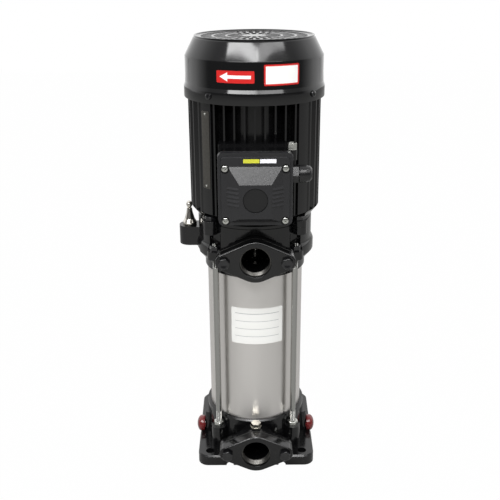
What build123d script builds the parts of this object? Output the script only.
"""Vertical multistage pump with a flanged motor on top.

Millimetres, +Z up.  The origin is on the shaft axis, on the underside of the base plate.
Both pipe ports face -Y, the terminal box sits on the -Y side of the motor.
"""

import os
from math import cos, radians, sin, sqrt

from build123d import *

os.makedirs("parts", exist_ok=True)

# ---- driving dimensions ---------------------------------------------------------------
fit = 0.1  # radial clearance of located, fixed pieces
run = 0.06  # radial clearance of a running fit
film = 0.05  # gap between the two seal faces

plate_x, plate_y, plate_t, plate_corner = 160.0, 168.0, 15.0, 14.0
foot_x, foot_y, foot_hole_r = 128.0, 142.0, 6.0
cup_r, cup_top = 69.0, 62.0
cheek_x, cheek_y, cheek_top = 75.0, 48.0, 46.0
seat_z = 50.0  # ledge in the base for the sleeve and the stage stack
sump_r, sump_floor = 48.0, 8.0

sleeve_r, sleeve_wall, gasket_t = 64.0, 2.0, 1.5
head_z = 286.0  # ledge in the head for the sleeve and the stack
head_bottom = 274.0
head_flange_bottom, head_flange_top, head_flange_r = 297.0, 308.0, 78.0
head_r, head_top = 75.0, 342.0
head_collar_r = 67.0
head_cavity_r, head_cavity_top = 50.0, 322.0

stay_x, stay_y, stay_r = 51.3, 54.0, 4.0
lug_r, lug_top = 10.5, 47.0
nut_af, nut_h = 13.0, 6.5
pocket_r = 8.9

port_face, port_bore_r, way_r = 100.0, 19.5, 21.0
suction_z, discharge_z = 28.5, 308.0
flange_t, flange_gasket_t, pad_t = 14.5, 1.5, 8.0
flange_half_h, lobe_x, lobe_r = 27.0, 39.0, 11.0
neck_r = 26.0
bolt_r, bolt_head_h = 4.0, 5.5
pad_face = port_face - flange_t - flange_gasket_t

gauge_y, gauge_top, gauge_r = 76.6, 57.0, 7.3
drain_y, drain_z, drain_r, drain_dome = -12.0, 22.0, 11.5, 11.0

vent_x, vent_top, vent_boss_r = -87.0, 326.0, 14.0
vent_port_z = 312.0

stage_count, stage_pitch, stage_z = 6, 37.0, 56.0
chamber_r, chamber_wall, eye_r = 61.0, 3.0, 18.0
impeller_r, impeller_neck_r, hub_r = 46.0, 17.6, 9.0
shaft_r, spacer_r = 6.0, 8.2
stack_top = stage_z + stage_count * stage_pitch

seal_z, seal_face_r, cover_r, spigot_r = 319.0, 13.0, 30.0, 19.9
cover_t, seat_h = 6.0, 7.0

coupling_r, coupling_z0, coupling_z1, shaft_joint_z = 21.0, 343.0, 367.0, 354.0
motor_shaft_r, motor_seat_r = 12.0, 12.5
motor_ear_r, motor_ear_pos = 9.0, 56.6
shield_r, shield_foot_r, shield_height = 84.0, 74.0, 16.6
shield_top = head_top + shield_height
ear_top = head_top + 8.0

barrel_r, fin_r = 70.0, 84.0
housing_bore_r = barrel_r - 4.0
housing_height = 141.4
housing_top = shield_top + housing_height
fin_pitch, fin_t, fins_per_side = 12.2, 2.2, 9
corner_w = 17.0
pad_x, pad_z0, pad_z1 = 44.0, 363.0, 453.0

lower_bearing_z = head_top + 30.0
upper_bearing_z = housing_top - 10.0
# bearings: bore radius, outer radius, bottom, top
lower_bearing = (12.5, 26.0, lower_bearing_z, lower_bearing_z + 15.0)
upper_bearing = (8.5, 20.0, upper_bearing_z, upper_bearing_z + 12.0)
race = 4.2  # radial thickness of a bearing ring
core_z0, core_z1, core_bore = 400.0, 470.0, 40.0
rotor_r, rotor_shaft_r = 39.5, 15.0

cowl_wall, cowl_band_r, cowl_height = 1.5, 88.3, 73.8
cowl_bottom = housing_top - 2.0
cowl_step0 = cowl_bottom + 14.0
cowl_step1 = cowl_bottom + 19.5
cowl_top = cowl_bottom + cowl_height
cowl_shoulder = cowl_top - 23.1
cowl_r = cowl_band_r - 1.8
cowl_top_r = cowl_r - 12.1
grille_r = cowl_top_r - 3.9
grille_z = cowl_top - 5.0
grille_slot_pitch = (grille_r - 8.0) / 6.25
cowl_screw_z, cowl_screw_turn = cowl_bottom + 9.0, 7.0
fan_r = cowl_r - 18.5
fan_z0 = housing_top + 12.0
fan_z1 = fan_z0 + 28.0

box_x, box_z0, box_z1, box_wall = 44.0, 365.0, 451.0, 3.0
box_back, box_front, lid_t = 84.0, 111.0, 7.0
lid_gasket_t = 1.0
lid_face = box_front + lid_gasket_t + lid_t
lid_peak = 130.0
lid_screw_x, lid_screw_z = 35.2, 32.0
gland_y, gland_z, gland_r, cable_r = 100.0, 421.0, 10.5, 5.0
earth_x, earth_y = 42.7, 104.0

box_mid = (box_z0 + box_z1) / 2
stay_points = [(sx * stay_x, sy * stay_y) for sx in (-1, 1) for sy in (-1, 1)]
ear_points = [(sx * motor_ear_pos, sy * motor_ear_pos) for sx in (-1, 1) for sy in (-1, 1)]
foot_points = [(sx * foot_x / 2, sy * foot_y / 2) for sx in (-1, 1) for sy in (-1, 1)]
lid_points = [(sx * lid_screw_x, box_mid + sz * lid_screw_z) for sx in (-1, 1) for sz in (-1, 1)]


def hex_r(across_flats):
    """Corner radius of a hexagon."""
    return across_flats / sqrt(3)


def polar(radius, degrees):
    return (radius * cos(radians(degrees)), radius * sin(radians(degrees)))


def turned(points):
    """Closed outline of (radius, height) points, to be turned about the pump axis."""
    with BuildSketch(Plane.XZ) as outline:
        with BuildLine():
            Polyline(*points, close=True)
        make_face()
    return outline.sketch


def oval(height, face):
    """The two-bolt oval outline, centred at this height, on the plane y = -face."""
    with BuildSketch(Plane.XZ.offset(face)) as outline:
        with Locations((0, height)):
            Circle(flange_half_h)
        with Locations((-lobe_x, height), (lobe_x, height)):
            Circle(lobe_r)
        make_hull()
    return outline.sketch


def curved_vanes(count, z0, radii, angles, thickness):
    """Outlines of swept-back vanes on the plane at z0."""
    with BuildSketch(Plane.XY.offset(z0)) as outline:
        for k in range(count):
            turn = 360.0 * k / count
            near, mid, far = [
                (polar(r, a + turn), polar(r, a + turn + thickness / r * 57.3))
                for r, a in zip(radii, angles)
            ]
            with BuildLine():
                ThreePointArc(near[0], mid[0], far[0])
                Line(far[0], far[1])
                ThreePointArc(far[1], mid[1], near[1])
                Line(near[1], near[0])
            make_face()
    return outline.sketch


# ---- base casting: plate, cup for the sleeve, side cheeks, stay bolt lugs, suction neck ----
with BuildPart() as base_casting:
    with BuildSketch(Plane.XY):
        RectangleRounded(plate_x, plate_y, plate_corner)
    extrude(amount=plate_t)
    chamfer(base_casting.faces().sort_by(Axis.Z)[-1].edges(), 2.0)
    with BuildSketch(Plane.XY):
        Circle(cup_r)
    extrude(amount=cup_top)
    chamfer(base_casting.faces().sort_by(Axis.Z)[-1].edges(), 1.6)
    with BuildSketch(Plane.XY):
        RectangleRounded(2 * cheek_x, cheek_y, 9.0)
    extrude(amount=cheek_top, taper=2.0)
    with BuildSketch(Plane.XY):
        with Locations(*stay_points):
            Circle(lug_r)
    extrude(amount=lug_top)
    with BuildSketch(Plane.XZ.offset(sump_r)):
        with Locations((0, suction_z)):
            Circle(neck_r)
    extrude(amount=pad_face - sump_r)
    extrude(oval(suction_z, pad_face), amount=-pad_t)
    with BuildSketch(Plane.XY.offset(suction_z)):
        with Locations((0, -gauge_y)):
            Circle(gauge_r)
    extrude(amount=gauge_top - suction_z)
    # sump, sleeve seat and port bore
    with BuildSketch(Plane.XY.offset(sump_floor)):
        Circle(sump_r)
    extrude(amount=seat_z - sump_floor, mode=Mode.SUBTRACT)
    with BuildSketch(Plane.XY.offset(seat_z)):
        Circle(sleeve_r + fit)
    extrude(amount=cup_top - seat_z, mode=Mode.SUBTRACT)
    with BuildSketch(Plane.XZ.offset(sump_r - 8)):
        with Locations((0, suction_z)):
            Circle(way_r)
    extrude(amount=pad_face - sump_r + 8, mode=Mode.SUBTRACT)
    # spot faces for the stay bolt nuts, bolt holes, plug holes
    with BuildSketch(Plane.XY.offset(lug_top)):
        with Locations(*stay_points):
            Circle(pocket_r)
    extrude(amount=cup_top - lug_top, mode=Mode.SUBTRACT)
    with BuildSketch(Plane.XY.offset(lug_top - 20)):
        with Locations(*stay_points):
            Circle(stay_r)
    extrude(amount=20, mode=Mode.SUBTRACT)
    with BuildSketch(Plane.XY):
        with Locations(*foot_points):
            Circle(foot_hole_r)
    extrude(amount=plate_t, mode=Mode.SUBTRACT)
    with BuildSketch(Plane.XZ.offset(pad_face - pad_t)):
        with Locations((-lobe_x, suction_z), (lobe_x, suction_z)):
            Circle(bolt_r)
    extrude(amount=pad_t, mode=Mode.SUBTRACT)
    with BuildSketch(Plane.XY.offset(suction_z)):
        with Locations((0, -gauge_y)):
            Circle(5.0)
    extrude(amount=gauge_top - suction_z, mode=Mode.SUBTRACT)
    for side in (-1, 1):
        with BuildSketch(Plane.YZ.offset(side * sump_r * 0.9)):
            with Locations((drain_y, drain_z)):
                Circle(8.0)
        extrude(amount=side * 40, mode=Mode.SUBTRACT)
        with BuildSketch(Plane.YZ.offset(side * (cheek_x - 1.0))):
            with Locations((drain_y, drain_z)):
                Circle(drain_r + 1.2)
        extrude(amount=side * 20, mode=Mode.SUBTRACT)
        with BuildSketch(Plane.XZ.offset(60)):
            with Locations((side * 36, 0)):
                Circle(5.0)
        extrude(amount=40, mode=Mode.SUBTRACT)
base_casting.part.label = "base_casting"
export_step(base_casting.part, "parts/base_casting.step")

# ---- discharge head: collar over the sleeve, stay bolt flange, column, discharge neck ----
with BuildPart() as discharge_head:
    section = turned(
        [
            (0, head_bottom),
            (head_collar_r, head_bottom),
            (head_collar_r, head_z - 2),
            (head_flange_r, head_flange_bottom),
            (head_flange_r, head_flange_top),
            (head_r, head_flange_top + 7),
            (head_r, head_top),
            (0, head_top),
        ]
    )
    revolve(section, axis=Axis.Z)
    with BuildSketch(Plane.XY.offset(head_flange_bottom)):
        with Locations(*stay_points):
            Circle(lug_r)
    extrude(amount=head_flange_top - head_flange_bottom)
    with BuildSketch(Plane.XY.offset(head_top - 10)):
        with Locations(*ear_points):
            Circle(motor_ear_r)
    extrude(amount=10)
    with BuildSketch(Plane.XZ.offset(head_cavity_r)):
        with Locations((0, discharge_z)):
            Circle(neck_r)
    extrude(amount=pad_face - head_cavity_r)
    extrude(oval(discharge_z, pad_face), amount=-pad_t)
    # boss that carries the vent valve
    with BuildSketch(Plane.XY.offset(vent_top - 30)):
        with Locations((vent_x, 0)):
            Circle(vent_boss_r)
        with Locations((vent_x / 2 - 30, 0)):
            Rectangle(-vent_x - 60, 2 * vent_boss_r)
    extrude(amount=30)
    # pockets over the stay bolt nuts
    with BuildSketch(Plane.XY.offset(head_flange_top)):
        with Locations(*[(x * 1.03, y * 1.03) for x, y in stay_points]):
            Circle(pocket_r + 1.4)
    extrude(amount=head_top - 10 - head_flange_top, mode=Mode.SUBTRACT)
    # water space, sleeve seat, seal bore
    with BuildSketch(Plane.XY.offset(head_bottom)):
        Circle(sleeve_r + fit)
    extrude(amount=head_z - head_bottom, mode=Mode.SUBTRACT)
    with BuildSketch(Plane.XY.offset(head_z)):
        Circle(head_cavity_r)
    extrude(amount=head_cavity_top - head_z, mode=Mode.SUBTRACT)
    with BuildSketch(Plane.XY.offset(head_cavity_top)):
        Circle(spigot_r + fit)
    extrude(amount=head_top - head_cavity_top, mode=Mode.SUBTRACT)
    with BuildSketch(Plane.XY.offset(head_top - cover_t)):
        Circle(cover_r + fit)
    extrude(amount=cover_t, mode=Mode.SUBTRACT)
    with BuildSketch(Plane.XZ.offset(head_cavity_r - 8)):
        with Locations((0, discharge_z)):
            Circle(way_r)
    extrude(amount=pad_face - head_cavity_r + 8, mode=Mode.SUBTRACT)
    # stay bolt, motor bolt, flange bolt and vent holes
    with BuildSketch(Plane.XY.offset(head_bottom)):
        with Locations(*stay_points):
            Circle(stay_r)
    extrude(amount=head_flange_top - head_bottom, mode=Mode.SUBTRACT)
    with BuildSketch(Plane.XY.offset(head_top - 10)):
        with Locations(*ear_points):
            Circle(bolt_r)
    extrude(amount=10, mode=Mode.SUBTRACT)
    with BuildSketch(Plane.XZ.offset(pad_face - 19)):
        with Locations((-lobe_x, discharge_z), (lobe_x, discharge_z)):
            Circle(bolt_r)
    extrude(amount=19, mode=Mode.SUBTRACT)
    with BuildSketch(Plane.XY.offset(vent_port_z)):
        with Locations((vent_x, 0)):
            Circle(5.0)
    extrude(amount=vent_top - vent_port_z, mode=Mode.SUBTRACT)
    with BuildSketch(Plane.YZ.offset(-head_cavity_r + 6)):
        with Locations((0, vent_port_z)):
            Circle(2.5)
    extrude(amount=vent_x + head_cavity_r - 6, mode=Mode.SUBTRACT)
discharge_head.part.label = "discharge_head"
export_step(discharge_head.part, "parts/discharge_head.step")

# ---- outer sleeve and the flat gaskets at both of its ends ----
with BuildPart() as outer_sleeve:
    with BuildSketch(Plane.XY.offset(seat_z + gasket_t)):
        Circle(sleeve_r)
        Circle(sleeve_r - sleeve_wall, mode=Mode.SUBTRACT)
    extrude(amount=head_z - seat_z - 2 * gasket_t)
outer_sleeve.part.label = "outer_sleeve"
export_step(outer_sleeve.part, "parts/outer_sleeve.step")

with BuildPart() as sleeve_gaskets:
    for level in (seat_z, head_z - gasket_t):
        with BuildSketch(Plane.XY.offset(level)):
            Circle(sleeve_r)
            Circle(sleeve_r - sleeve_wall, mode=Mode.SUBTRACT)
        extrude(amount=gasket_t)
sleeve_gaskets.part.label = "sleeve_gaskets"
export_step(sleeve_gaskets.part, "parts/sleeve_gaskets.step")

# ---- inlet ring with the spider that holds the lower shaft bush ----
with BuildPart() as inlet_ring:
    with BuildSketch(Plane.XY.offset(seat_z)):
        Circle(chamber_r)
        Circle(eye_r, mode=Mode.SUBTRACT)
    extrude(amount=stage_z - seat_z)
    with BuildSketch(Plane.XY.offset(seat_z - 6)):
        Circle(13.0)
        with PolarLocations(20.0, 3, start_angle=90):
            Rectangle(22.0, 4.0)
    extrude(amount=6)
    with BuildSketch(Plane.XY.offset(seat_z)):
        Circle(13.0)
    extrude(amount=2)
    with BuildSketch(Plane.XY.offset(seat_z - 6)):
        Circle(9.5)
    extrude(amount=8, mode=Mode.SUBTRACT)
inlet_ring.part.label = "inlet_ring"
export_step(inlet_ring.part, "parts/inlet_ring.step")

with BuildPart() as shaft_bush:
    with BuildSketch(Plane.XY.offset(seat_z - 6)):
        Circle(9.5)
        Circle(shaft_r + run, mode=Mode.SUBTRACT)
    extrude(amount=8)
shaft_bush.part.label = "shaft_bush"
export_step(shaft_bush.part, "parts/shaft_bush.step")

# ---- stage chambers: outer wall, diffuser plate, return vanes, diaphragm with the next eye ----
for stage in range(stage_count):
    z0 = stage_z + stage * stage_pitch
    with BuildPart() as stage_chamber:
        with BuildSketch(Plane.XY.offset(z0)):
            Circle(chamber_r)
            Circle(chamber_r - chamber_wall, mode=Mode.SUBTRACT)
        extrude(amount=stage_pitch)
        with BuildSketch(Plane.XY.offset(z0 + 31)):
            Circle(chamber_r - chamber_wall / 2)
            Circle(eye_r, mode=Mode.SUBTRACT)
        extrude(amount=stage_pitch - 31)
        with BuildSketch(Plane.XY.offset(z0 + 18)):
            Circle(50.0)
            Circle(spacer_r + 0.5, mode=Mode.SUBTRACT)
        extrude(amount=2)
        extrude(curved_vanes(6, z0 + 19, (20, 35, 49), (0, 14, 34), 3.0), amount=13)
    stage_chamber.part.label = f"stage_chamber_{stage + 1}"
    export_step(stage_chamber.part, f"parts/stage_chamber_{stage + 1}.step")

# ---- ring that clamps the stack under the head ----
with BuildPart() as stack_ring:
    with BuildSketch(Plane.XY.offset(stack_top)):
        Circle(chamber_r)
        Circle(head_cavity_r + 3, mode=Mode.SUBTRACT)
    extrude(amount=head_z - stack_top)
stack_ring.part.label = "stack_ring"
export_step(stack_ring.part, "parts/stack_ring.step")

# ---- stay bolts and their nuts ----
with BuildPart() as stay_bolts:
    with BuildSketch(Plane.XY.offset(lug_top - 18)):
        with Locations(*stay_points):
            Circle(stay_r)
    extrude(amount=head_flange_top + nut_h + 3 - lug_top + 18)
stay_bolts.part.label = "stay_bolts"
export_step(stay_bolts.part, "parts/stay_bolts.step")

with BuildPart() as stay_nuts:
    for level in (lug_top, head_flange_top):
        with BuildSketch(Plane.XY.offset(level)):
            with Locations(*stay_points):
                RegularPolygon(hex_r(nut_af), 6)
                Circle(stay_r, mode=Mode.SUBTRACT)
        extrude(amount=nut_h)
stay_nuts.part.label = "stay_nuts"
export_step(stay_nuts.part, "parts/stay_nuts.step")

# ---- threaded oval flanges, gaskets and their bolts, the same at both ports ----
for port, height in (("suction", suction_z), ("discharge", discharge_z)):
    with BuildPart() as port_gasket:
        extrude(oval(height, pad_face), amount=flange_gasket_t)
        with BuildSketch(Plane.XZ.offset(pad_face)):
            with Locations((0, height)):
                Circle(way_r + 0.5)
            with Locations((-lobe_x, height), (lobe_x, height)):
                Circle(bolt_r)
        extrude(amount=flange_gasket_t, mode=Mode.SUBTRACT)
    port_gasket.part.label = f"{port}_gasket"
    export_step(port_gasket.part, f"parts/{port}_gasket.step")

    with BuildPart() as port_flange:
        extrude(oval(height, pad_face + flange_gasket_t), amount=flange_t)
        chamfer(port_flange.faces().sort_by(Axis.Y)[0].edges(), 1.2)
        with BuildSketch(Plane.XZ.offset(pad_face + flange_gasket_t)):
            with Locations((0, height)):
                Circle(port_bore_r)
            with Locations((-lobe_x, height), (lobe_x, height)):
                Circle(bolt_r)
        extrude(amount=flange_t, mode=Mode.SUBTRACT)
    port_flange.part.label = f"{port}_flange"
    export_step(port_flange.part, f"parts/{port}_flange.step")

with BuildPart() as flange_bolts:
    for height, tail in ((suction_z, 18.0), (discharge_z, 18.0)):
        with BuildSketch(Plane.XZ.offset(pad_face - tail)):
            with Locations((-lobe_x, height), (lobe_x, height)):
                Circle(bolt_r)
        extrude(amount=port_face - pad_face + tail)
        with BuildSketch(Plane.XZ.offset(port_face)):
            with Locations((-lobe_x, height), (lobe_x, height)):
                RegularPolygon(hex_r(nut_af), 6)
        extrude(amount=bolt_head_h)
flange_bolts.part.label = "flange_bolts"
export_step(flange_bolts.part, "parts/flange_bolts.step")

with BuildPart() as flange_nuts:
    with BuildSketch(Plane.XZ.offset(pad_face - pad_t - nut_h)):
        with Locations((-lobe_x, suction_z), (lobe_x, suction_z)):
            RegularPolygon(hex_r(nut_af), 6)
            Circle(bolt_r, mode=Mode.SUBTRACT)
    extrude(amount=nut_h)
flange_nuts.part.label = "flange_nuts"
export_step(flange_nuts.part, "parts/flange_nuts.step")

# ---- plugs: gauge tapping on the suction neck, drain taps on both sides of the base ----
with BuildPart() as gauge_plug:
    with BuildSketch(Plane.XY.offset(gauge_top - 7)):
        with Locations((0, -gauge_y)):
            Circle(5.0)
    extrude(amount=7)
    with BuildSketch(Plane.XY.offset(gauge_top)):
        with Locations((0, -gauge_y)):
            Circle(gauge_r)
    extrude(amount=2)
    with BuildSketch(Plane.XY.offset(gauge_top + 2)):
        with Locations((0, -gauge_y)):
            RegularPolygon(hex_r(12), 6)
    extrude(amount=5)
gauge_plug.part.label = "gauge_plug"
export_step(gauge_plug.part, "parts/gauge_plug.step")

with BuildPart() as drain_plugs:
    for side in (-1, 1):
        with BuildSketch(Plane.YZ.offset(side * (cheek_x - 14))):
            with Locations((drain_y, drain_z)):
                Circle(8.0)
        extrude(amount=side * 13)
        with BuildSketch(Plane.YZ.offset(side * (cheek_x - 1))):
            with Locations((drain_y, drain_z)):
                Circle(drain_r)
        extrude(amount=side * 5)
        with BuildSketch(Plane.YZ.offset(side * (cheek_x + 4))):
            with Locations((drain_y, drain_z)):
                Circle(drain_r)
        extrude(amount=side * (drain_dome - 4), taper=38)
drain_plugs.part.label = "drain_plugs"
export_step(drain_plugs.part, "parts/drain_plugs.step")

# ---- vent valve: conical body with a ball-headed bleed screw ----
with BuildPart() as vent_body:
    with BuildSketch(Plane.XZ):
        with BuildLine():
            Polyline(
                (vent_x + 1.9, vent_top - 9),
                (vent_x + 4.9, vent_top - 9),
                (vent_x + 4.9, vent_top),
                (vent_x + 9.2, vent_top),
                (vent_x + 9.2, vent_top + 3.5),
                (vent_x + 6.6, vent_top + 8),
                (vent_x + 4.1, vent_top + 17),
                (vent_x + 3.3, vent_top + 23),
                (vent_x + 1.9, vent_top + 23),
                close=True,
            )
        make_face()
    revolve(axis=Axis((vent_x, 0, 0), (0, 0, 1)))
vent_body.part.label = "vent_body"
export_step(vent_body.part, "parts/vent_body.step")

with BuildPart() as vent_screw:
    with BuildSketch(Plane.XZ):
        with BuildLine():
            Polyline(
                (vent_x, vent_top - 7),
                (vent_x + 1.9 - run, vent_top - 5),
                (vent_x + 1.9 - run, vent_top + 23.2),
                (vent_x + 3.2, vent_top + 24.4),
                (vent_x + 4.1, vent_top + 27),
                (vent_x + 3.9, vent_top + 29.6),
                (vent_x + 2.4, vent_top + 31.4),
                (vent_x, vent_top + 32),
                close=True,
            )
        make_face()
    revolve(axis=Axis((vent_x, 0, 0), (0, 0, 1)))
    with BuildSketch(Plane.XY.offset(vent_top + 31)):
        with Locations((vent_x, 0)):
            Rectangle(7.0, 1.0)
    extrude(amount=2, mode=Mode.SUBTRACT)
vent_screw.part.label = "vent_screw"
export_step(vent_screw.part, "parts/vent_screw.step")

# ---- shaft seal: cover plate, stationary seat, rotating head ----
with BuildPart() as seal_cover:
    section = turned(
        [
            (8.0, seal_z + seat_h),
            (seal_face_r, seal_z + seat_h),
            (seal_face_r, seal_z),
            (spigot_r, seal_z),
            (spigot_r, head_top - cover_t),
            (cover_r, head_top - cover_t),
            (cover_r, head_top),
            (8.0, head_top),
        ]
    )
    revolve(section, axis=Axis.Z)
seal_cover.part.label = "seal_cover"
export_step(seal_cover.part, "parts/seal_cover.step")

with BuildPart() as seal_seat:
    with BuildSketch(Plane.XY.offset(seal_z)):
        Circle(seal_face_r)
        Circle(8.0, mode=Mode.SUBTRACT)
    extrude(amount=seat_h)
seal_seat.part.label = "seal_seat"
export_step(seal_seat.part, "parts/seal_seat.step")

with BuildPart() as seal_head:
    section = turned(
        [
            (shaft_r, 296.0),
            (13.0, 296.0),
            (13.0, 299.0),
            (10.5, 300.5),
            (12.5, 302.5),
            (10.5, 304.5),
            (12.5, 306.5),
            (10.5, 308.5),
            (14.0, 310.0),
            (14.0, 314.0),
            (11.5, 315.0),
            (11.5, seal_z - film),
            (8.0, seal_z - film),
            (8.0, 314.0),
            (shaft_r, 314.0),
        ]
    )
    revolve(section, axis=Axis.Z)
seal_head.part.label = "seal_head"
export_step(seal_head.part, "parts/seal_head.step")

# ---- pump shaft, impellers and the spacer sleeves between them ----
with BuildPart() as pump_shaft:
    with BuildSketch(Plane.XY.offset(seat_z - 9)):
        Circle(shaft_r)
    extrude(amount=shaft_joint_z - 0.3 - seat_z + 9)
    chamfer(pump_shaft.edges().filter_by(GeomType.CIRCLE), 1.0)
pump_shaft.part.label = "pump_shaft"
export_step(pump_shaft.part, "parts/pump_shaft.step")

for stage in range(stage_count):
    z0 = stage_z + stage * stage_pitch
    with BuildPart() as impeller:
        with BuildSketch(Plane.XY.offset(z0 - 3)):
            Circle(hub_r)
        extrude(amount=20)
        with BuildSketch(Plane.XY.offset(z0 - 3)):
            Circle(impeller_neck_r)
            Circle(16.0, mode=Mode.SUBTRACT)
        extrude(amount=7)
        with BuildSketch(Plane.XY.offset(z0 + 4)):
            Circle(impeller_r)
            Circle(16.0, mode=Mode.SUBTRACT)
        extrude(amount=2)
        with BuildSketch(Plane.XY.offset(z0 + 13)):
            Circle(impeller_r)
        extrude(amount=2)
        extrude(curved_vanes(5, z0 + 5, (15, 30, 45), (0, -26, -58), 2.0), amount=9)
        with BuildSketch(Plane.XY.offset(z0 - 3)):
            Circle(shaft_r)
        extrude(amount=20, mode=Mode.SUBTRACT)
    impeller.part.label = f"impeller_{stage + 1}"
    export_step(impeller.part, f"parts/impeller_{stage + 1}.step")

with BuildPart() as shaft_spacers:
    for stage in range(stage_count):
        z0 = stage_z + stage * stage_pitch + 17
        z1 = z0 + stage_pitch - 20 if stage < stage_count - 1 else 296.0
        with BuildSketch(Plane.XY.offset(z0)):
            Circle(spacer_r)
            Circle(shaft_r, mode=Mode.SUBTRACT)
        extrude(amount=z1 - z0)
shaft_spacers.part.label = "shaft_spacers"
export_step(shaft_spacers.part, "parts/shaft_spacers.step")

# ---- clamp coupling between the pump shaft and the motor shaft ----
with BuildPart() as shaft_coupling:
    section = turned(
        [
            (shaft_r, coupling_z0),
            (coupling_r, coupling_z0),
            (coupling_r, coupling_z1),
            (motor_shaft_r, coupling_z1),
            (motor_shaft_r, shaft_joint_z),
            (shaft_r, shaft_joint_z),
        ]
    )
    revolve(section, axis=Axis.Z)
    with BuildSketch(Plane.XY.offset(coupling_z0)):
        with Locations((coupling_r, 0)):
            Rectangle(2 * coupling_r - 4, 1.6)
    extrude(amount=coupling_z1 - coupling_z0, mode=Mode.SUBTRACT)
    for level in (coupling_z0 + 6, coupling_z1 - 6):
        with BuildSketch(Plane.XZ.offset(-coupling_r)):
            with Locations((16.0, level)):
                Circle(2.5)
        extrude(amount=2 * coupling_r, mode=Mode.SUBTRACT)
shaft_coupling.part.label = "shaft_coupling"
export_step(shaft_coupling.part, "parts/shaft_coupling.step")

# ---- motor shaft and rotor core ----
with BuildPart() as motor_shaft:
    section = turned(
        [
            (0, shaft_joint_z + 0.3),
            (motor_shaft_r - 1, shaft_joint_z + 0.3),
            (motor_shaft_r, shaft_joint_z + 1.3),
            (motor_shaft_r, lower_bearing[2] - 1),
            (motor_seat_r, lower_bearing[2] - 1),
            (motor_seat_r, lower_bearing[3]),
            (rotor_shaft_r, lower_bearing[3]),
            (rotor_shaft_r, upper_bearing[2]),
            (upper_bearing[0], upper_bearing[2]),
            (upper_bearing[0], upper_bearing[3] + 1),
            (8.0, upper_bearing[3] + 1),
            (8.0, fan_z1 + 3),
            (7.0, fan_z1 + 4),
            (0, fan_z1 + 4),
        ]
    )
    revolve(section, axis=Axis.Z)
motor_shaft.part.label = "motor_shaft"
export_step(motor_shaft.part, "parts/motor_shaft.step")

with BuildPart() as rotor_core:
    with BuildSketch(Plane.XY.offset(core_z0 - 4)):
        Circle(rotor_r)
        Circle(rotor_shaft_r, mode=Mode.SUBTRACT)
    extrude(amount=core_z1 - core_z0 + 8)
rotor_core.part.label = "rotor_core"
export_step(rotor_core.part, "parts/rotor_core.step")

# ---- motor drive-end shield with four bolt ears ----
with BuildPart() as motor_lower_shield:
    section = turned(
        [
            (46, head_top),
            (shield_foot_r, head_top),
            (shield_foot_r, head_top + 4),
            (shield_r, shield_top),
            (housing_bore_r, shield_top),
            (housing_bore_r, lower_bearing_z - 4),
            (34, lower_bearing_z - 4),
            (34, lower_bearing[3]),
            (lower_bearing[1], lower_bearing[3]),
            (lower_bearing[1], lower_bearing[2]),
            (22.5, lower_bearing[2]),
            (22.5, lower_bearing_z - 10),
            (46, lower_bearing_z - 10),
        ]
    )
    revolve(section, axis=Axis.Z)
    with BuildSketch(Plane.XY.offset(head_top)):
        with Locations(*ear_points):
            Circle(motor_ear_r)
    extrude(amount=ear_top - head_top)
    with BuildSketch(Plane.XY.offset(ear_top)):
        with Locations(*ear_points):
            Circle(motor_ear_r + 0.4)
    extrude(amount=shield_top - ear_top, mode=Mode.SUBTRACT)
    with BuildSketch(Plane.XY.offset(head_top)):
        with Locations(*ear_points):
            Circle(bolt_r)
    extrude(amount=ear_top - head_top, mode=Mode.SUBTRACT)
motor_lower_shield.part.label = "motor_lower_shield"
export_step(motor_lower_shield.part, "parts/motor_lower_shield.step")

with BuildPart() as motor_bolts:
    with BuildSketch(Plane.XY.offset(head_top - 10)):
        with Locations(*ear_points):
            Circle(bolt_r)
    extrude(amount=ear_top - head_top + 10)
    with BuildSketch(Plane.XY.offset(ear_top)):
        with Locations(*ear_points):
            RegularPolygon(hex_r(nut_af), 6)
    extrude(amount=bolt_head_h)
motor_bolts.part.label = "motor_bolts"
export_step(motor_bolts.part, "parts/motor_bolts.step")

# ---- finned motor housing: four groups of parallel fins, corner strips, terminal box pad ----
with BuildPart() as motor_housing:
    with BuildSketch(Plane.XY.offset(shield_top)):
        for side in range(4):
            for k in range(fins_per_side):
                offset_x = (k - (fins_per_side - 1) / 2) * fin_pitch
                with Locations(Location((0, 0, 0), (0, 0, 90 * side))):
                    with Locations((offset_x, -barrel_r)):
                        Rectangle(fin_t, 2 * (fin_r - barrel_r) + 30)
            with Locations(Location((0, 0, 0), (0, 0, 45 + 90 * side))):
                with Locations((0, -(barrel_r + fin_r) / 2)):
                    Rectangle(corner_w, fin_r - barrel_r + 12)
        Circle(fin_r, mode=Mode.INTERSECT)
        Circle(barrel_r)
        Circle(housing_bore_r, mode=Mode.SUBTRACT)
    extrude(amount=housing_top - shield_top)
    with BuildSketch(Plane.XZ.offset(barrel_r - 3)):
        with Locations((0, (pad_z0 + pad_z1) / 2)):
            Rectangle(2 * pad_x, pad_z1 - pad_z0)
    extrude(amount=fin_r + 10 - barrel_r, mode=Mode.SUBTRACT)
    with BuildSketch(Plane.XZ.offset(housing_bore_r - 12)):
        with Locations((0, (pad_z0 + pad_z1) / 2)):
            Rectangle(2 * pad_x, pad_z1 - pad_z0)
    extrude(amount=box_back - housing_bore_r + 12)
    with BuildSketch(Plane.XY.offset(shield_top)):
        Circle(housing_bore_r)
    extrude(amount=housing_top - shield_top, mode=Mode.SUBTRACT)
    with BuildSketch(Plane.XZ.offset(50)):
        with Locations((0, box_mid)):
            Circle(9)
    extrude(amount=40, mode=Mode.SUBTRACT)
motor_housing.part.label = "motor_housing"
export_step(motor_housing.part, "parts/motor_housing.step")

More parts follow.
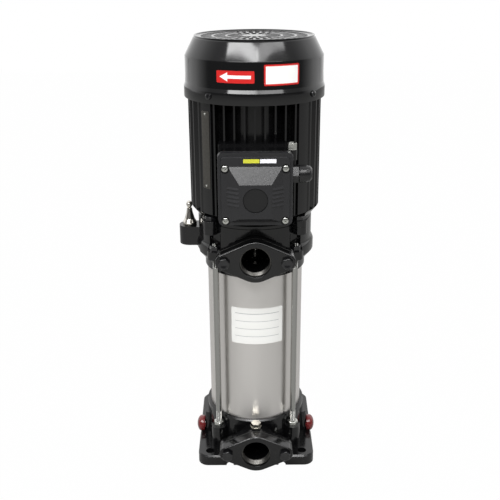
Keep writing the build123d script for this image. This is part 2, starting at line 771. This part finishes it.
# ---- stator core and windings ----
with BuildPart() as stator_core:
    with BuildSketch(Plane.XY.offset(core_z0)):
        Circle(housing_bore_r)
        Circle(core_bore, mode=Mode.SUBTRACT)
        with PolarLocations(49.5, 24):
            Rectangle(11.0, 5.0, mode=Mode.SUBTRACT)
    extrude(amount=core_z1 - core_z0)
stator_core.part.label = "stator_core"
export_step(stator_core.part, "parts/stator_core.step")

with BuildPart() as stator_windings:
    with BuildSketch(Plane.XY.offset(core_z0 - 10)):
        with PolarLocations(49.5, 24):
            Rectangle(10.4, 4.4)
    extrude(amount=core_z1 - core_z0 + 22)
    for level, height in ((core_z0 - 10, 9.8), (core_z1 + 0.2, 12.0)):
        with BuildSketch(Plane.XY.offset(level)):
            Circle(58.0)
            Circle(43.5, mode=Mode.SUBTRACT)
        extrude(amount=height)
stator_windings.part.label = "stator_windings"
export_step(stator_windings.part, "parts/stator_windings.step")

# ---- fan-end shield with four pads that hold the cowl ----
with BuildPart() as motor_upper_shield:
    section = turned(
        [
            (8.5 + 1.5, upper_bearing[3]),
            (upper_bearing[1], upper_bearing[3]),
            (upper_bearing[1], upper_bearing[2]),
            (27, upper_bearing[2]),
            (27, housing_top - 5),
            (housing_bore_r, housing_top - 5),
            (housing_bore_r, housing_top),
            (cowl_band_r - 6.3, housing_top),
            (cowl_band_r - 6.3, housing_top + 10),
            (cowl_band_r - 10.3, housing_top + 10),
            (60, housing_top + 5),
            (27, housing_top + 5),
            (24, housing_top + 8),
            (10, housing_top + 8),
        ]
    )
    revolve(section, axis=Axis.Z)
    with BuildSketch(Plane.XY.offset(housing_top)):
        for k in range(4):
            with Locations(Location((0, 0, 0), (0, 0, 45 + cowl_screw_turn + 90 * k))):
                with Locations((0, -(cowl_band_r - 9.3))):
                    Rectangle(14.0, 24.0)
        Circle(cowl_band_r - cowl_wall, mode=Mode.INTERSECT)
    extrude(amount=11)
    for k in range(4):
        turn = radians(-45 + cowl_screw_turn + 90 * k)
        out = Vector(cos(turn), sin(turn), 0)
        level = Plane(origin=out * (cowl_band_r - 12.3) + Vector(0, 0, cowl_screw_z), z_dir=out)
        with BuildSketch(level):
            Circle(2.0)
        extrude(amount=14, mode=Mode.SUBTRACT)
motor_upper_shield.part.label = "motor_upper_shield"
export_step(motor_upper_shield.part, "parts/motor_upper_shield.step")

# ---- sealed ball bearings: fixed outer part with its seals, turning inner ring ----
for place, (bore, outer, z0, z1) in (("lower", lower_bearing), ("upper", upper_bearing)):
    with BuildPart() as bearing_outer:
        section = turned(
            [
                (outer - race, z0 + 1.5),
                (bore + race + 0.3, z0 + 1.5),
                (bore + race + 0.3, z0 + 0.5),
                (outer - race, z0 + 0.5),
                (outer - race, z0),
                (outer, z0),
                (outer, z1),
                (outer - race, z1),
                (outer - race, z1 - 0.5),
                (bore + race + 0.3, z1 - 0.5),
                (bore + race + 0.3, z1 - 1.5),
                (outer - race, z1 - 1.5),
            ]
        )
        revolve(section, axis=Axis.Z)
    bearing_outer.part.label = f"{place}_bearing_outer"
    export_step(bearing_outer.part, f"parts/{place}_bearing_outer.step")

    with BuildPart() as bearing_inner:
        with BuildSketch(Plane.XY.offset(z0)):
            Circle(bore + race)
            Circle(bore, mode=Mode.SUBTRACT)
        extrude(amount=z1 - z0)
    bearing_inner.part.label = f"{place}_bearing_inner"
    export_step(bearing_inner.part, f"parts/{place}_bearing_inner.step")

# ---- cooling fan ----
with BuildPart() as cooling_fan:
    with BuildSketch(Plane.XY.offset(fan_z0)):
        Circle(fan_r)
    extrude(amount=2.5)
    with BuildSketch(Plane.XY.offset(fan_z0)):
        Circle(14.0)
    extrude(amount=fan_z1 - fan_z0)
    with BuildSketch(Plane.XY.offset(fan_z0)):
        with PolarLocations((fan_r + 12) / 2, 8):
            Rectangle(fan_r - 12, 2.2)
    extrude(amount=22)
    with BuildSketch(Plane.XY.offset(fan_z0)):
        Circle(8.0)
    extrude(amount=fan_z1 - fan_z0, mode=Mode.SUBTRACT)
cooling_fan.part.label = "cooling_fan"
export_step(cooling_fan.part, "parts/cooling_fan.step")

# ---- fan cowl: pressed shell with a ring-slotted grille ----
with BuildPart() as fan_cowl:
    t = cowl_wall
    section = turned(
        [
            (cowl_band_r, cowl_bottom),
            (cowl_band_r, cowl_step0),
            (cowl_r, cowl_step1),
            (cowl_r, cowl_shoulder),
            (cowl_top_r, cowl_top),
            (grille_r, cowl_top),
            (grille_r - 2, grille_z + t),
            (0, grille_z + t),
            (0, grille_z),
            (grille_r - 2 + t, grille_z),
            (grille_r + t, cowl_top - t),
            (cowl_top_r - t, cowl_top - t),
            (cowl_r - t, cowl_shoulder - 0.6),
            (cowl_r - t, cowl_step1),
            (cowl_band_r - t, cowl_step0),
            (cowl_band_r - t, cowl_bottom),
        ]
    )
    revolve(section, axis=Axis.Z)
    with BuildSketch(Plane.XY.offset(grille_z)):
        for ring in reversed(range(6)):
            Circle(grille_slot_pitch * (ring + 1.25) + 2.6)
            Circle(grille_slot_pitch * (ring + 1.25) - 2.6, mode=Mode.SUBTRACT)
        with PolarLocations(grille_r / 2, 6, start_angle=15):
            Rectangle(grille_r + 1, 3.4, mode=Mode.SUBTRACT)
    extrude(amount=t, mode=Mode.SUBTRACT)
    for k in range(4):
        turn = radians(-45 + cowl_screw_turn + 90 * k)
        out = Vector(cos(turn), sin(turn), 0)
        with BuildSketch(Plane(origin=out * (cowl_band_r - 8.3) + Vector(0, 0, cowl_screw_z), z_dir=out)):
            Circle(2.0)
        extrude(amount=14, mode=Mode.SUBTRACT)
fan_cowl.part.label = "fan_cowl"
export_step(fan_cowl.part, "parts/fan_cowl.step")

with BuildPart() as cowl_screws:
    for k in range(4):
        turn = radians(-45 + cowl_screw_turn + 90 * k)
        out = Vector(cos(turn), sin(turn), 0)
        with BuildSketch(Plane(origin=out * (cowl_band_r - 11.3) + Vector(0, 0, cowl_screw_z), z_dir=out)):
            Circle(2.0)
        extrude(amount=11.3)
        with BuildSketch(Plane(origin=out * cowl_band_r + Vector(0, 0, cowl_screw_z), z_dir=out)):
            Circle(4.0)
        extrude(amount=2.6, taper=20)
cowl_screws.part.label = "cowl_screws"
export_step(cowl_screws.part, "parts/cowl_screws.step")

# ---- terminal box with its board, lid and screws ----
with BuildPart() as terminal_box:
    with BuildSketch(Plane.XZ.offset(box_back)):
        with Locations((0, box_mid)):
            RectangleRounded(2 * box_x, box_z1 - box_z0, 6.0)
    extrude(amount=box_front - box_back)
    with BuildSketch(Plane.XY.offset(box_z1 - 12)):
        with Locations((earth_x, -earth_y)):
            Circle(6.0)
    extrude(amount=12)
    with BuildSketch(Plane.XZ.offset(box_back + box_wall)):
        with Locations((0, box_mid)):
            RectangleRounded(2 * (box_x - box_wall), box_z1 - box_z0 - 2 * box_wall, 4.0)
    extrude(amount=box_front - box_back - box_wall, mode=Mode.SUBTRACT)
    with BuildSketch(Plane.XZ.offset(box_back)):
        with Locations(*lid_points):
            Circle(5.2)
    extrude(amount=box_front - box_back)
    with BuildSketch(Plane.XZ.offset(box_front - 14)):
        with Locations(*lid_points):
            Circle(2.0)
    extrude(amount=14, mode=Mode.SUBTRACT)
    with BuildSketch(Plane.XZ.offset(box_back)):
        with Locations((0, box_mid)):
            Circle(9)
    extrude(amount=box_wall, mode=Mode.SUBTRACT)
    with BuildSketch(Plane.YZ.offset(box_x - 8)):
        with Locations((-gland_y, gland_z)):
            Circle(8.0)
    extrude(amount=8, mode=Mode.SUBTRACT)
    with BuildSketch(Plane.XY.offset(box_z1 - 9)):
        with Locations((earth_x, -earth_y)):
            Circle(2.5)
    extrude(amount=9, mode=Mode.SUBTRACT)
terminal_box.part.label = "terminal_box"
export_step(terminal_box.part, "parts/terminal_box.step")

with BuildPart() as terminal_board:
    with BuildSketch(Plane.XZ.offset(box_back + box_wall)):
        with Locations((0, box_mid - 19)):
            Rectangle(46, 28)
    extrude(amount=5)
    with BuildSketch(Plane.XZ.offset(box_back + box_wall + 5)):
        with Locations((0, box_mid - 19)):
            with GridLocations(15, 14, 3, 2):
                Circle(2.0)
    extrude(amount=12)
    with BuildSketch(Plane.XZ.offset(box_back + box_wall + 5)):
        with Locations((0, box_mid - 19)):
            with GridLocations(15, 14, 3, 2):
                RegularPolygon(hex_r(7), 6)
    extrude(amount=4)
terminal_board.part.label = "terminal_board"
export_step(terminal_board.part, "parts/terminal_board.step")

with BuildPart() as lid_gasket:
    with BuildSketch(Plane.XZ.offset(box_front)):
        with Locations((0, box_mid)):
            RectangleRounded(2 * box_x, box_z1 - box_z0, 6.0)
            RectangleRounded(2 * (box_x - box_wall), box_z1 - box_z0 - 2 * box_wall, 4.0,
                             mode=Mode.SUBTRACT)
    extrude(amount=lid_gasket_t)
lid_gasket.part.label = "lid_gasket"
export_step(lid_gasket.part, "parts/lid_gasket.step")

with BuildPart() as terminal_box_lid:
    with BuildSketch(Plane.XZ.offset(box_front + lid_gasket_t)):
        with Locations((0, box_mid)):
            RectangleRounded(2 * box_x, box_z1 - box_z0, 6.0)
    extrude(amount=lid_t)
    chamfer(terminal_box_lid.faces().sort_by(Axis.Y)[0].edges(), 1.5)
    with BuildSketch(Plane.XZ.offset(lid_face)):
        with Locations((0, box_mid)):
            RectangleRounded(2 * box_x - 7, box_z1 - box_z0 - 7, 5.0)
    extrude(amount=2)
    with BuildSketch(Plane.XZ.offset(lid_face + 2)):
        with Locations((0, 403.5)):
            Rectangle(68, 67)
    with BuildSketch(Plane.XZ.offset(lid_peak)):
        with Locations((0, 395.0)):
            Rectangle(37, 42)
    loft()
    for side in (-1, 1):
        for k in range(5):
            with BuildSketch(Plane.XZ.offset(lid_face + 1)):
                with Locations((side * 27.5, 390 + 5 * k)):
                    Rectangle(18, 1.7)
            extrude(amount=7.5)
    with BuildSketch(Plane.XZ.offset(lid_peak - 1.6)):
        with Locations((0, 396.5)):
            Circle(14.6)
    extrude(amount=6, mode=Mode.SUBTRACT)
    with BuildSketch(Plane.XZ.offset(lid_face - 1)):
        with Locations(*lid_points):
            Circle(5.4)
    extrude(amount=12, mode=Mode.SUBTRACT)
    with BuildSketch(Plane.XZ.offset(box_front + lid_gasket_t)):
        with Locations(*lid_points):
            Circle(2.0)
    extrude(amount=12, mode=Mode.SUBTRACT)
terminal_box_lid.part.label = "terminal_box_lid"
export_step(terminal_box_lid.part, "parts/terminal_box_lid.step")

with BuildPart() as lid_screws:
    with BuildSketch(Plane.XZ.offset(box_front - 10)):
        with Locations(*lid_points):
            Circle(2.0)
    extrude(amount=lid_face - 1 - box_front + 10)
    with BuildSketch(Plane.XZ.offset(lid_face - 1)):
        with Locations(*lid_points):
            Circle(4.2)
    extrude(amount=3.2)
lid_screws.part.label = "lid_screws"
export_step(lid_screws.part, "parts/lid_screws.step")

# ---- cable gland on the right wall of the box ----
with BuildPart() as gland_body:
    with BuildSketch(Plane.YZ.offset(box_x - 6)):
        with Locations((-gland_y, gland_z)):
            Circle(8.0)
    extrude(amount=6)
    with BuildSketch(Plane.YZ.offset(box_x)):
        with Locations((-gland_y, gland_z)):
            RegularPolygon(gland_r + 0.6, 6)
    extrude(amount=7)
    with BuildSketch(Plane.YZ.offset(box_x + 7)):
        with Locations((-gland_y, gland_z)):
            Circle(7.5)
    extrude(amount=8)
    with BuildSketch(Plane.YZ.offset(box_x - 6)):
        with Locations((-gland_y, gland_z)):
            Circle(cable_r + 0.6)
    extrude(amount=21, mode=Mode.SUBTRACT)
gland_body.part.label = "gland_body"
export_step(gland_body.part, "parts/gland_body.step")

with BuildPart() as gland_nut:
    with BuildSketch(Plane.XZ.offset(gland_y)):
        with BuildLine():
            Polyline(
                (box_x + 7.5, gland_z + 7.5),
                (box_x + 7.5, gland_z + gland_r),
                (box_x + 16, gland_z + gland_r),
                (box_x + 20.5, gland_z + 9),
                (box_x + 23, gland_z + 6.2),
                (box_x + 23, gland_z + cable_r),
                (box_x + 15, gland_z + cable_r),
                (box_x + 15, gland_z + 7.5),
                close=True,
            )
        make_face()
    revolve(axis=Axis((0, -gland_y, gland_z), (1, 0, 0)))
gland_nut.part.label = "gland_nut"
export_step(gland_nut.part, "parts/gland_nut.step")

# ---- earth screw on the corner of the box ----
with BuildPart() as earth_screw:
    with BuildSketch(Plane.XY.offset(box_z1 - 8)):
        with Locations((earth_x, -earth_y)):
            Circle(2.5)
    extrude(amount=8)
    with BuildSketch(Plane.XY.offset(box_z1)):
        with Locations((earth_x, -earth_y)):
            Circle(5.6)
    extrude(amount=1.2)
    with BuildSketch(Plane.XY.offset(box_z1 + 1.2)):
        with Locations((earth_x, -earth_y)):
            RegularPolygon(hex_r(10), 6)
    extrude(amount=7.0)
earth_screw.part.label = "earth_screw"
export_step(earth_screw.part, "parts/earth_screw.step")
